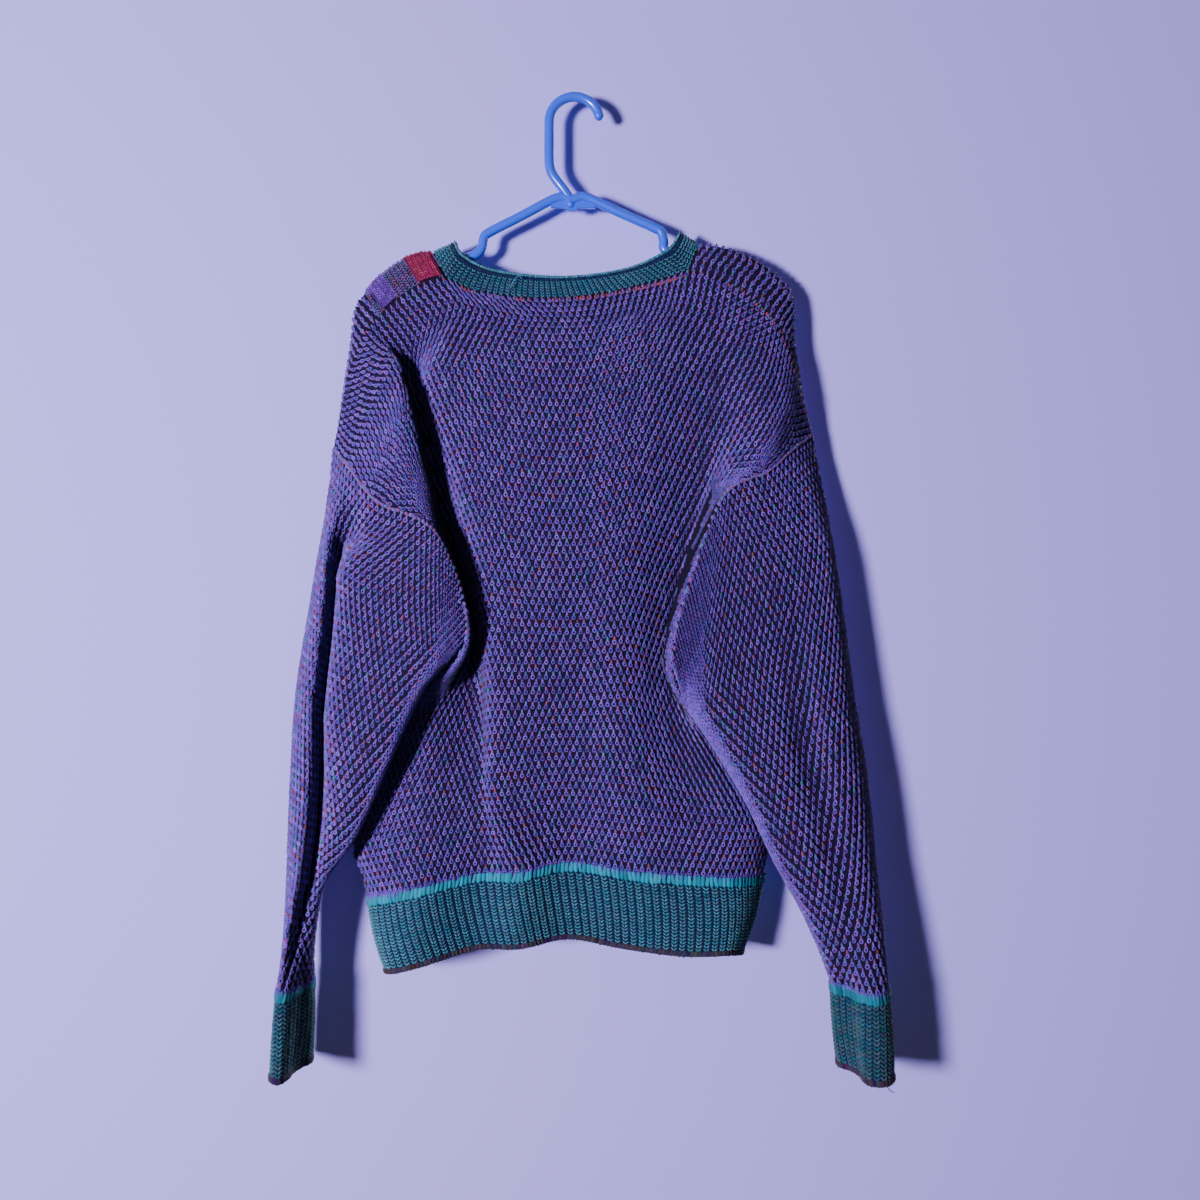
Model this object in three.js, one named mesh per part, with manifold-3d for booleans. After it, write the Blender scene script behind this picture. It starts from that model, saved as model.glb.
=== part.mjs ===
import * as THREE from 'three';
import { mergeVertices } from 'three/addons/utils/BufferGeometryUtils.js';
import Module from 'manifold-3d';

// A heavy knitted pullover hanging from a tubular hanger, in millimetres with +Z up.
// The origin is the inside top of the hook. The back of the garment faces -Y and the front +Y,
// so the wearer's left sleeve is at -X.
// Every cloth piece is a skin of points, thickened inwards by its wall.

const wall = 3.4;          // knitted body and sleeve cloth
const ribWall = 3;         // ribbed neck, hem and cuffs
const seamGap = 0.3;       // clear space between two sewn pieces
const patchWall = 1.6;     // darned patch, lying on the shoulder
const patchLift = 0.3;     // patch above the cloth
const tubeRadius = 4.6;    // hanger tube
const hookRadius = 24;     // centreline of the hook

// ---- curves and skins ----

// A smooth curve through points, t counted in points.
function along(points, t, loop = false) {
  const n = points.length;
  const k = Math.min(Math.floor(t), loop ? n - 1 : n - 2);
  const f = t - k;
  const end = (i, j) => points[i].map((v, a) => 2 * v - points[j][a]);
  const at = (i) => {
    if (loop) return points[(i + n) % n];
    if (i < 0) return end(0, 1);
    if (i >= n) return end(n - 1, n - 2);
    return points[i];
  };
  const [a, b, c, d] = [at(k - 1), at(k), at(k + 1), at(k + 2)];
  return b.map((v, i) => 0.5 * (2 * v + (c[i] - a[i]) * f
    + (2 * a[i] - 5 * v + 4 * c[i] - d[i]) * f * f
    + (3 * v - a[i] - 3 * c[i] + d[i]) * f * f * f));
}

function steps(from, to, count) {
  return Array.from({ length: count + 1 }, (_, i) => from + (to - from) * i / count);
}

function mix(p, q, t) {
  return p.map((v, i) => v + (q[i] - v) * t);
}

// The points of a panel, a row for each v and a point for each u. Below the armpits each row
// carries on into its neighbour at the side seams, so the fold there is round.
function weave(net, neighbour, us, vs) {
  const rowAt = (row, i, u) => {
    if (i > 3) return along(row, u);
    return along([neighbour[i][1], ...row, neighbour[i][row.length - 2]], u + 1);
  };
  const curves = us.map((u) => net.map((row, i) => rowAt(row, i, u)));
  return vs.map((v) => curves.map((curve) => along(curve, v)));
}

// Moves one row onto a given line, and the rows near it by less and less.
function pinRow(grid, row, line, reach) {
  line.forEach((target, j) => {
    const shift = target.map((v, a) => v - grid[row][j][a]);
    grid.forEach((points, i) => {
      const fade = Math.max(0, 1 - Math.abs(i - row) / reach);
      points[j] = points[j].map((v, a) => v + shift[a] * fade * fade * (3 - 2 * fade));
    });
  });
}

// The same for one column.
function pinColumn(grid, column, line, reach) {
  line.forEach((target, i) => {
    const shift = target.map((v, a) => v - grid[i][column][a]);
    grid[i].forEach((point, j) => {
      const fade = Math.max(0, 1 - Math.abs(j - column) / reach);
      grid[i][j] = point.map((v, a) => v + shift[a] * fade * fade * (3 - 2 * fade));
    });
  });
}

// A skin: its points and its four-sided faces, wound to face out.
function skin(grid, { loop = false, flip = false, keep = () => true } = {}) {
  const columns = grid[0].length;
  const points = grid.flat();
  const faces = [];
  for (let i = 0; i < grid.length - 1; i++) {
    for (let j = 0; j < (loop ? columns : columns - 1); j++) {
      if (!keep(i, j)) continue;
      const k = (j + 1) % columns;
      const face = [i * columns + j, i * columns + k, (i + 1) * columns + k, (i + 1) * columns + j];
      faces.push(flip ? face.reverse() : face);
    }
  }
  return { points: points.map((p) => new THREE.Vector3(...p)), faces };
}

const spot = (p) => [p.x, p.y, p.z].map((v) => Math.round(v * 100)).join(' ');

// Outward directions, shared where two pieces meet, so that their edges stay parallel.
function sharedNormals(skins) {
  const sum = new Map();
  for (const { points, faces } of skins) {
    for (const [a, b, c, d] of faces) {
      const across = points[c].clone().sub(points[a]);
      const normal = across.cross(points[d].clone().sub(points[b]));
      for (const i of [a, b, c, d]) {
        const key = spot(points[i]);
        if (!sum.has(key)) sum.set(key, new THREE.Vector3());
        sum.get(key).add(normal);
      }
    }
  }
  for (const n of sum.values()) n.normalize();
  return sum;
}

// Thickens a skin into one closed solid, with its edges drawn back by half the seam gap.
function thicken({ points, faces }, normals, thickness, lift = 0, gap = seamGap) {
  const edges = new Map();
  for (const face of faces) {
    face.forEach((a, k) => edges.set(`${a} ${face[(k + 1) % 4]}`, [a, face[(k + 1) % 4], face]));
  }
  const inward = points.map(() => []);
  const rim = [];
  for (const [a, b, face] of edges.values()) {
    if (edges.has(`${b} ${a}`)) continue;
    rim.push([a, b]);
    const middle = new THREE.Vector3();
    face.forEach((i) => middle.addScaledVector(points[i], 0.25));
    const line = points[b].clone().sub(points[a]).normalize();
    const toward = middle.sub(points[a]);
    toward.addScaledVector(line, -toward.dot(line)).normalize();
    inward[a].push(toward);
    inward[b].push(toward);
  }
  const used = new Set(faces.flat());
  const index = new Map([...used].map((i, k) => [i, k]));
  const outer = [];
  const inner = [];
  for (const i of used) {
    const p = points[i].clone();
    if (inward[i].length === 2) {
      const [d, e] = inward[i];
      p.addScaledVector(d.clone().add(e), 0.5 * gap / (1 + Math.max(-0.4, d.dot(e))));
    }
    const n = normals.get(spot(points[i]));
    outer.push(p.clone().addScaledVector(n, lift));
    inner.push(p.clone().addScaledVector(n, lift - thickness));
  }
  const count = outer.length;
  const triangles = [];
  const quad = (list, a, b, c, d) => {
    const short = list[a].distanceToSquared(list[c]) < list[b].distanceToSquared(list[d]);
    triangles.push(...(short ? [a, b, c, a, c, d] : [b, c, d, b, d, a]));
  };
  const all = outer.concat(inner);
  for (const face of faces) {
    const [a, b, c, d] = face.map((i) => index.get(i));
    quad(all, a, b, c, d);
    quad(all, d + count, c + count, b + count, a + count);
  }
  for (const [i, j] of rim) {
    const [a, b] = [index.get(i), index.get(j)];
    quad(all, b, a, a + count, b + count);
  }
  const geometry = new THREE.BufferGeometry();
  geometry.setAttribute('position', new THREE.Float32BufferAttribute(all.flatMap((p) => [p.x, p.y, p.z]), 3));
  geometry.setIndex(triangles);
  geometry.computeVertexNormals();
  return geometry;
}

// ---- back panel ----
// Each row is one course of the knitting, from the hem seam up, written from left to right:
// side or armhole seam, fold, valley, quarter, middle, quarter, valley, fold, seam.
const backNet = [
  [[-190, -18, -750], [-143, -50, -736], [-86, -34, -725], [-46, -46, -722], [-2, -32, -715],
    [55, -44, -721], [108, -44, -725], [154, -38, -728], [183, -6, -731]],
  [[-204, -14, -686], [-147, -42, -683], [-87, -33, -665], [-66, -43, -660], [-1, -34, -654],
    [55, -46, -656], [110, -34, -664], [157, -34, -669], [187, -6, -677]],
  [[-166, -18, -590], [-129, -32, -581], [-90, -17, -557], [-68, -43, -551], [0, -40, -543],
    [50, -44, -547], [90, -24, -572], [124, -32, -604], [162, -18, -611]],
  [[-95, -64, -511], [-88, -43, -507], [-98, -8, -482], [-76, -41, -460], [0, -44, -451],
    [53, -42, -452], [95, -15, -476], [84, -43, -523], [94, -60, -538]],
  [[-118, -66, -416], [-120, -38, -401], [-121, -9, -376], [-96, -38, -338], [0, -42, -315],
    [66, -38, -318], [123, -20, -353], [131, -42, -380], [134, -58, -388]],
  [[-177, -50, -384], [-143, -58, -317], [-145, -15, -285], [-118, -33, -258], [0, -36, -232],
    [83, -34, -235], [141, -24, -268], [175, -48, -327], [181, -44, -356]],
  [[-206, -28, -353], [-163, -45, -262], [-160, -23, -240], [-102, -23, -203], [0, -25, -209],
    [98, -23, -198], [160, -25, -226], [194, -34, -282], [208, -26, -333]],
  [[-226, -2, -331], [-206, -17, -252], [-178, -18, -206], [-117, -14, -170], [-4, -10, -188],
    [110, -15, -163], [180, -19, -199], [207, -16, -247], [229, -2, -318]],
];
const backNeck = [[-117, -14, -170], [-90, -13, -181], [-36, -12, -188], [19, -12, -185], [73, -13, -174],
  [110, -15, -163]];

// ---- front panel ----
// Written in the same order, with the three last rows going over the shoulder:
// under the ridge, on the ridge, and the seam, which lies on the back.
const frontNet = [
  [[-190, -18, -750], [-176, 12, -748], [-112, 26, -740], [-58, 16, -735], [0, 25, -732],
    [58, 17, -733], [112, 27, -735], [166, 20, -735], [183, -6, -731]],
  [[-204, -14, -686], [-186, 14, -684], [-114, 26, -676], [-60, 15, -672], [0, 24, -668],
    [60, 16, -668], [114, 26, -670], [168, 22, -674], [187, -6, -677]],
  [[-166, -18, -590], [-156, 8, -588], [-112, 23, -580], [-62, 16, -572], [0, 23, -566],
    [62, 16, -568], [108, 24, -576], [150, 8, -600], [162, -18, -611]],
  [[-95, -64, -511], [-119, -19, -504], [-108, 15, -494], [-60, 19, -478], [0, 21, -470],
    [60, 19, -474], [99, 14, -500], [121, -12, -526], [94, -60, -538]],
  [[-140, -4, -466], [-132, 15, -440], [-106, 21, -400], [-66, 20, -372], [0, 22, -362],
    [66, 20, -366], [108, 21, -400], [134, 15, -452], [148, -2, -474]],
  [[-184, 14, -398], [-163, 21, -345], [-130, 19, -300], [-84, 20, -270], [0, 22, -262],
    [82, 20, -264], [130, 19, -292], [168, 21, -336], [190, 14, -388]],
  [[-211, 14, -358], [-201, 18, -264], [-180, 18, -212], [-119, 14, -174], [0, 17, -227],
    [110, 14, -167], [186, 18, -200], [203, 18, -256], [217, 14, -344]],
  [[-224, 8, -342], [-211, 2, -240], [-197, 0, -182], [-131, 0, -143], [0, 0, -190],
    [121, 0, -136], [203, 0, -172], [213, 2, -235], [227, 8, -328]],
  [[-226, -2, -331], [-206, -17, -252], [-178, -18, -206], [-117, -14, -170], [-4, -10, -188],
    [110, -15, -163], [180, -19, -199], [207, -16, -247], [229, -2, -318]],
];
const armpitRow = 10;      // rows of points below the armpit, and as many above
const notchRow = 16;       // the front neck is cut out above this row
const shoulderSteps = 9;
const neckSteps = 10;
const across = [...steps(0, 3, shoulderSteps), ...steps(3, 5, neckSteps).slice(1),
  ...steps(5, 8, shoulderSteps).slice(1)];
const neckFrom = shoulderSteps;
const neckTo = shoulderSteps + neckSteps;
const lastColumn = across.length - 1;

const back = weave(backNet, frontNet, across, [...steps(0, 3, 10), ...steps(3, 7, 10).slice(1)]);
const neckLine = back[20].map((p, j) => (j < neckFrom || j > neckTo ? p
  : along(backNeck, 5 * (j - neckFrom) / neckSteps)));
pinRow(back, 20, neckLine, 6);

const front = weave(frontNet, backNet, across, [...steps(0, 3, 10), ...steps(3, 8, 10).slice(1)]);
const sideOf = (column) => front.map((row, i) => (i <= armpitRow ? back[i][column] : row[column]));
pinColumn(front, 0, sideOf(0), 4);
pinColumn(front, lastColumn, sideOf(lastColumn), 4);
const shoulderLine = front[20].map((p, j) => (j <= neckFrom || j >= neckTo ? back[20][j] : p));
pinRow(front, 20, shoulderLine, 3);

// ---- sleeves ----
// A sleeve is a folded tube. Its rings run from an outer line to an inner line, and each ring's
// section gives twelve points as the share of the way across and the depth: round the outer roll,
// into the groove, over the flap, round the inner fold, and home along the hidden side.
const leftOuter = [[-226, -331], [-233, -400], [-244, -472], [-257, -560], [-262, -650], [-264, -730],
  [-266, -790], [-268, -825]];
const leftInner = [[-95, -511], [-110, -529], [-134, -557], [-164, -622], [-195, -688], [-226, -734],
  [-238, -790], [-240, -827]];
const leftSections = [
  [1, [[0, -12], [0.07, -36], [0.13, -11], [0.2, -49], [0.6, -66], [0.93, -72], [1, -62], [0.95, -52],
    [0.6, -38], [0.35, -6], [0.15, 12], [0.02, 6]]],
  [3, [[0, -18], [0.2, -46], [0.29, -18], [0.38, -54], [0.7, -70], [0.95, -70], [1, -60], [0.94, -48],
    [0.6, -34], [0.35, -8], [0.15, 8], [0.02, 0]]],
  [5, [[0, -26], [0.42, -56], [0.57, -30], [0.76, -36], [0.88, -42], [0.97, -40], [1, -34], [0.95, -26],
    [0.7, -14], [0.4, -2], [0.2, 4], [0.03, -6]]],
  [7, [[0, -38], [0.14, -64], [0.45, -66], [0.62, -56], [0.78, -42], [0.95, -34], [1, -24], [0.95, -12],
    [0.7, -2], [0.4, 0], [0.15, -6], [0, -20]]],
];
const rightOuter = [[229, -318], [243, -398], [255, -480], [265, -560], [276, -632], [284, -715],
  [289, -775], [292, -826]];
const rightInner = [[94, -538], [106, -570], [128, -604], [158, -654], [186, -712], [210, -755],
  [228, -793], [242, -828]];
const rightSections = [
  [1, [[0, -12], [0.06, -34], [0.2, -44], [0.36, -50], [0.62, -58], [0.93, -68], [1, -58], [0.95, -48],
    [0.6, -36], [0.35, -6], [0.15, 12], [0.02, 6]]],
  [3, [[0, -18], [0.12, -46], [0.3, -58], [0.47, -46], [0.68, -64], [0.94, -68], [1, -58], [0.94, -46],
    [0.6, -34], [0.35, -8], [0.15, 8], [0.02, 0]]],
  [5, [[0, -26], [0.14, -52], [0.32, -62], [0.5, -58], [0.72, -64], [0.94, -58], [1, -46], [0.95, -34],
    [0.7, -18], [0.4, -2], [0.2, 4], [0.03, -6]]],
  [7, [[0, -40], [0.12, -64], [0.4, -72], [0.62, -60], [0.78, -42], [0.95, -34], [1, -24], [0.95, -12],
    [0.7, -2], [0.4, 0], [0.15, -6], [0, -20]]],
];
const ringStops = [0, 0.5, 1, 1.5, 2, 2.5, 3, 4, 5, 5.5, 6, 6.5, 7, 8, 9, 9.5, 10, 10.5, 11, 11.5];

function section(sections, t) {
  const stations = sections.map(([at]) => at);
  let k = 0;
  while (k < stations.length - 2 && t > stations[k + 1]) k++;
  const share = Math.min(1, Math.max(0, (t - stations[k]) / (stations[k + 1] - stations[k])));
  return sections[k][1].map((pair, i) => mix(pair, sections[k + 1][1][i], share));
}

function ring(outer, inner, pairs) {
  return pairs.map(([share, depth]) => {
    const [x, z] = mix(outer, inner, share);
    return [x, depth, z];
  });
}

function sleeve(outer, inner, sections, column) {
  const grid = steps(0, 7, 14).map((t) => {
    const points = ring(along(outer, t), along(inner, t), section(sections, t));
    return ringStops.map((k) => along(points, k, true));
  });
  const armhole = ringStops.map((_, j) => (j <= 10 ? back[20 - j][column] : front[j][column]));
  pinRow(grid, 0, armhole, 3);
  return grid;
}

const sleeveLeft = sleeve(leftOuter, leftInner, leftSections, 0);
const sleeveRight = sleeve(rightOuter, rightInner, rightSections, lastColumn);

// ---- ribs ----
// A rib carries on from a row of points to its own free edge, with a little swell between.
function rib(start, edge, rows, swell) {
  const middle = [0, 1, 2].map((a) => start.reduce((s, p) => s + p[a], 0) / start.length);
  return steps(0, 1, rows).map((t) => start.map((p, j) => {
    const q = mix(p, edge[j], t);
    const [dx, dy] = [q[0] - middle[0], q[1] - middle[1]];
    const far = Math.hypot(dx, dy) || 1;
    const out = swell * Math.sin(Math.PI * t);
    return [q[0] + out * dx / far, q[1] + out * dy / far, q[2]];
  }));
}

const cuffBottomLeft = [[0, -46], [0.1, -68], [0.4, -77], [0.6, -68], [0.66, -48], [0.8, -34], [1, -24],
  [1, -8], [0.7, 2], [0.4, 2], [0.12, -6], [0, -24]];
const cuffBottomRight = [[0, -48], [0.08, -68], [0.36, -78], [0.64, -70], [0.68, -50], [0.82, -34], [1, -24],
  [1, -8], [0.7, 2], [0.4, 2], [0.12, -6], [0, -24]];
function cuff(sleeveGrid, outer, inner, pairs) {
  const edge = ring(outer, inner, pairs);
  return rib(sleeveGrid[14], ringStops.map((k) => along(edge, k, true)), 3, 1.5);
}
const cuffLeft = cuff(sleeveLeft, [-272, -906], [-244, -906], cuffBottomLeft);
const cuffRight = cuff(sleeveRight, [294, -907], [251, -909], cuffBottomRight);

const hemEdge = [[-169, -42, -816], [-138, -62, -806], [-86, -44, -794], [-46, -50, -792], [-2, -34, -787],
  [50, -46, -793], [102, -52, -798], [144, -46, -799], [160, -16, -805],
  [148, 18, -802], [102, 26, -802], [52, 16, -798], [0, 24, -796], [-52, 16, -798], [-102, 25, -803],
  [-156, 8, -812]];
const hemStart = [...back[0], ...front[0].slice(1, -1).reverse()];
const hemStops = [...across, ...across.slice(1, -1).map((u) => 8 + u)];
const hem = rib(hemStart, hemStops.map((u) => along(hemEdge, u, true)), 3, 3);

// The neck rib runs round the back neck, up the right shoulder, round the front notch and back.
const neckStart = [
  ...steps(neckFrom, neckTo, neckSteps).map((j) => back[20][j]),
  ...steps(19, notchRow, 19 - notchRow).map((i) => front[i][neckTo]),
  ...steps(neckTo - 1, neckFrom, neckSteps - 1).map((j) => front[notchRow][j]),
  ...steps(notchRow + 1, 19, 18 - notchRow).map((i) => front[i][neckFrom]),
];
const neckEdge = [[-101, -12, -148], [-71, -12, -162], [-10, -11, -168], [50, -12, -161], [90, -12, -143],
  [102, 0, -124], [92, 12, -146], [52, 14, -180], [0, 15, -204], [-54, 14, -186], [-98, 12, -153],
  [-109, 0, -133]];
const neckIndex = [0, 2.5, 5, 7.5, 10, 12, 14, 16.5, 19, 21.5, 24, 26, 28];
const neckRing = neckStart.map((_, j) => {
  let k = 0;
  while (j >= neckIndex[k + 1]) k++;
  return along(neckEdge, k + (j - neckIndex[k]) / (neckIndex[k + 1] - neckIndex[k]), true);
});
const neck = rib(neckStart, neckRing, 3, 1);

// ---- darned patches on the left shoulder, made from the front panel's own points ----
function patch(u0, u1, v0, v1) {
  return steps(v0, v1, 4).map((v) => steps(u0, u1, 5).map((u) => {
    const [i, j] = [Math.min(Math.floor(v), 19), Math.min(Math.floor(u), lastColumn - 1)];
    const low = mix(front[i][j], front[i][j + 1], u - j);
    const high = mix(front[i + 1][j], front[i + 1][j + 1], u - j);
    return mix(low, high, v - i);
  }));
}

const patches = {
  darn_crimson: [patch(8, 8.9, 18.05, 19.85), 0xa0265c],
  darn_violet: [patch(6.2, 7, 18.05, 19.85), 0x6f35b8],
};

const skins = {
  back: skin(back),
  front: skin(front, { flip: true, keep: (i, j) => i < notchRow || j < neckFrom || j >= neckTo }),
  sleeve_left: skin(sleeveLeft, { loop: true, flip: true }),
  sleeve_right: skin(sleeveRight, { loop: true }),
  cuff_left: skin(cuffLeft, { loop: true, flip: true }),
  cuff_right: skin(cuffRight, { loop: true }),
  hem_rib: skin(hem, { loop: true, flip: true }),
  neck_rib: skin(neck, { loop: true }),
};
const normals = sharedNormals(Object.values(skins));

const sweater = new THREE.Group();
sweater.name = 'darned_sweater_on_hanger';
function add(name, geometry, color, roughness) {
  const material = new THREE.MeshStandardMaterial({ color, roughness, metalness: 0 });
  material.name = `${name}_material`;
  const mesh = new THREE.Mesh(geometry, material);
  mesh.name = name;
  sweater.add(mesh);
}

const lavender = 0x6a5cae;
for (const [name, piece] of Object.entries(skins)) {
  const ribbed = name.includes('cuff') || name.includes('rib');
  add(name, thicken(piece, normals, ribbed ? ribWall : wall), ribbed ? 0x3f8296 : lavender, 0.95);
}
for (const [name, [grid, color]] of Object.entries(patches)) {
  const piece = skin(grid, { flip: true });
  add(name, thicken(piece, sharedNormals([piece]), patchWall, patchWall + patchLift, 0), color, 0.95);
}

// ---- hanger ----
// A round bar along a line of points in the plane of the hanger, closed on itself or with domed ends.
function bar(points, radius, loop, sides = 12) {
  const rings = [];
  const n = points.length;
  const ringAt = ([x, z], [tx, tz], r) => {
    const long = Math.hypot(tx, tz);
    const [nx, nz] = [-tz / long, tx / long];
    return Array.from({ length: sides }, (_, k) => {
      const angle = 2 * Math.PI * k / sides;
      const out = r * Math.cos(angle);
      return new THREE.Vector3(x + nx * out, r * Math.sin(angle), z + nz * out);
    });
  };
  points.forEach((p, i) => {
    const before = points[loop ? (i + n - 1) % n : Math.max(0, i - 1)];
    const after = points[loop ? (i + 1) % n : Math.min(n - 1, i + 1)];
    const tangent = [after[0] - before[0], after[1] - before[1]];
    const shift = (t) => p.map((v, a) => v + tangent[a] / Math.hypot(...tangent) * t);
    if (!loop && i === 0) {
      for (const a of [1.2, 0.75, 0.35]) rings.push(ringAt(shift(-radius * Math.sin(a)), tangent, radius * Math.cos(a)));
    }
    rings.push(ringAt(p, tangent, radius));
    if (!loop && i === n - 1) {
      for (const a of [0.35, 0.75, 1.2]) rings.push(ringAt(shift(radius * Math.sin(a)), tangent, radius * Math.cos(a)));
    }
  });
  const triangles = [];
  const count = rings.length;
  for (let i = 0; i < (loop ? count : count - 1); i++) {
    const [a, b] = [i * sides, ((i + 1) % count) * sides];
    for (let k = 0; k < sides; k++) {
      const m = (k + 1) % sides;
      triangles.push(a + k, b + k, b + m, a + k, b + m, a + m);
    }
  }
  if (!loop) {
    const last = (count - 1) * sides;
    for (let k = 1; k < sides - 1; k++) {
      triangles.push(0, k, k + 1, last, last + k + 1, last + k);
    }
  }
  return solid(rings.flat(), triangles);
}

function solid(points, triangles) {
  const area = points.flatMap((p) => [p.x, p.y, p.z]);
  const make = (list) => new wasm.Manifold(new wasm.Mesh({
    numProp: 3, vertProperties: new Float32Array(area), triVerts: new Uint32Array(list),
  }));
  const made = make(triangles);
  return made.volume() > 0 ? made : make(triangles.slice().reverse());
}

function arc(cx, cz, radius, from, to, count) {
  return steps(from, to, count).map((angle) => {
    const a = THREE.MathUtils.degToRad(angle);
    return [cx + radius * Math.cos(a), cz + radius * Math.sin(a)];
  });
}

// The hook: a round bend about a point a little right of the origin, a straight neck and a slanted foot.
const hookLine = [
  ...arc(2.9, -19.45, hookRadius, 14, 180, 20),
  [-21.1, -34], [-21.1, -50], [-20.6, -62], [-17.5, -70], [-12.5, -77], [-7, -84], [-2, -92], [-1, -98],
];
// The arms, each with a strap notch, and their rounded ends and lower bar.
const frameLine = [
  [0, -93], [12, -90.5], [29, -97.5], [46, -105.5], [79, -120], [85, -124], [87.5, -132.5], [87.5, -138.5],
  [92, -143], [110, -148.5], [130, -155.5], [150, -163.5], [168, -171.5], [180, -177.5],
  ...arc(181, -197.5, 15.5, 58, -80, 8),
  [160, -212.5], [120, -215.5], [60, -220], [0, -224.5], [-60, -229], [-120, -232.5], [-160, -233],
  ...arc(-180, -210.5, 15, 260, 122, 8),
  [-176, -185], [-150, -168.5], [-120, -155.5], [-96, -147.5], [-88, -143], [-84.5, -137.5], [-83, -129.5],
  [-77.5, -124], [-47, -108.5], [-14, -91.5],
];
const wasm = await Module();
wasm.setup();
const gusset = [[-19, -97.5], [-1, -90], [22, -98.5], [22.5, -101.5], [5, -101.5], [4, -104], [-4, -104],
  [-5, -101.5], [-19.5, -100.5]];
const gussetShape = new THREE.Shape(gusset.map(([x, z]) => new THREE.Vector2(x, z)));
const gussetPlate = mergeVertices(new THREE.ExtrudeGeometry(gussetShape, { depth: 4, bevelEnabled: false })
  .rotateX(Math.PI / 2).translate(0, 2, 0).deleteAttribute('normal').deleteAttribute('uv'), 1e-4);
const plate = new wasm.Manifold(new wasm.Mesh({
  numProp: 3,
  vertProperties: new Float32Array(gussetPlate.attributes.position.array),
  triVerts: new Uint32Array(gussetPlate.index.array),
}));
const joined = bar(frameLine, tubeRadius, true).add(bar(hookLine, tubeRadius, false)).add(plate).getMesh();
const hanger = new THREE.BufferGeometry();
hanger.setAttribute('position', new THREE.Float32BufferAttribute(joined.vertProperties, 3));
hanger.setIndex(Array.from(joined.triVerts));
hanger.computeVertexNormals();
add('hanger', hanger, 0x2b5fe6, 0.25);

export default sweater;
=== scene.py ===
import math

import bpy
import numpy as np
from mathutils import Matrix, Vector


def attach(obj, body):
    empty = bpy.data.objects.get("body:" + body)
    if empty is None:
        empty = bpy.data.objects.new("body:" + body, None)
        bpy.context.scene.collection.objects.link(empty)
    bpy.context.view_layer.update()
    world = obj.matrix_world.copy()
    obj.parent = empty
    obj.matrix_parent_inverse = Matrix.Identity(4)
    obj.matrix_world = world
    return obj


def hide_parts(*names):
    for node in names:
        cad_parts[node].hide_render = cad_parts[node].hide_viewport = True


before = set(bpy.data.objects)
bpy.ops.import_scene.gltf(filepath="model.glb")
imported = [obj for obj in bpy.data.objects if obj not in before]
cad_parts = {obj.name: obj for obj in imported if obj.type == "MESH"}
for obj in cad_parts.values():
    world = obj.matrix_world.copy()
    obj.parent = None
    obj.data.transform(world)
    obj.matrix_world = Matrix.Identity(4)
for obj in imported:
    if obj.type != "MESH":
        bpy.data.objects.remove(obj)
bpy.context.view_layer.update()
rng = np.random.default_rng(11)
print("frame loaded")

# Lengths here are in millimetres, in the part's own frame. meshObject turns them into metres.
# The cloth follows the same nets of points as the solids, sampled more finely.


def spline(points, t, loop=False):
    points = np.asarray(points, float)
    t = np.asarray(t, float)
    n = len(points)
    k = np.clip(np.floor(t).astype(int), 0, n - 1 if loop else n - 2)
    f = (t - k).reshape((-1,) + (1,) * (points.ndim - 1))
    if loop:
        a, b, c, d = (points[(k + i) % n] for i in (-1, 0, 1, 2))
    else:
        ends = np.concatenate([2 * points[:1] - points[1:2], points, 2 * points[-1:] - points[-2:-1]])
        a, b, c, d = (ends[k + i] for i in range(4))
    square, cube = 2 * a - 5 * b + 4 * c - d, 3 * b - a - 3 * c + d
    return 0.5 * (2 * b + (c - a) * f + square * f**2 + cube * f**3)


# A surface through a net of points. Below the armpit each row runs on into the other panel's.
def weave(net, neighbour, us, vs):
    rows = []
    for i, row in enumerate(net):
        if i > armpitNetRow:
            rows.append(spline(row, us))
        else:
            rows.append(spline([neighbour[i][1], *row, neighbour[i][-2]], us + 1))
    return spline(np.array(rows), vs)


# 1 at a place, and smoothly down to 0 at a reach from it.
def fadeFrom(stops, at, reach):
    near = np.clip(1 - np.abs(stops - at) / reach, 0, 1)
    return near * near * (3 - 2 * near)


# Each net goes row by row from the hem seam up, and along a row from the left side to the right.
armpitNetRow = 3
backNet = [
    [[-190, -18, -750], [-143, -50, -736], [-86, -34, -725], [-46, -46, -722], [-2, -32, -715],
     [55, -44, -721], [108, -44, -725], [154, -38, -728], [183, -6, -731]],
    [[-204, -14, -686], [-147, -42, -683], [-87, -33, -665], [-66, -43, -660], [-1, -34, -654],
     [55, -46, -656], [110, -34, -664], [157, -34, -669], [187, -6, -677]],
    [[-166, -18, -590], [-129, -32, -581], [-90, -17, -557], [-68, -43, -551], [0, -40, -543],
     [50, -44, -547], [90, -24, -572], [124, -32, -604], [162, -18, -611]],
    [[-95, -64, -511], [-88, -43, -507], [-98, -8, -482], [-76, -41, -460], [0, -44, -451],
     [53, -42, -452], [95, -15, -476], [84, -43, -523], [94, -60, -538]],
    [[-118, -66, -416], [-120, -38, -401], [-121, -9, -376], [-96, -38, -338], [0, -42, -315],
     [66, -38, -318], [123, -20, -353], [131, -42, -380], [134, -58, -388]],
    [[-177, -50, -384], [-143, -58, -317], [-145, -15, -285], [-118, -33, -258], [0, -36, -232],
     [83, -34, -235], [141, -24, -268], [175, -48, -327], [181, -44, -356]],
    [[-206, -28, -353], [-163, -45, -262], [-160, -23, -240], [-102, -23, -203], [0, -25, -209],
     [98, -23, -198], [160, -25, -226], [194, -34, -282], [208, -26, -333]],
    [[-226, -2, -331], [-206, -17, -252], [-178, -18, -206], [-117, -14, -170], [-4, -10, -188],
     [110, -15, -163], [180, -19, -199], [207, -16, -247], [229, -2, -318]],
]
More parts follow.
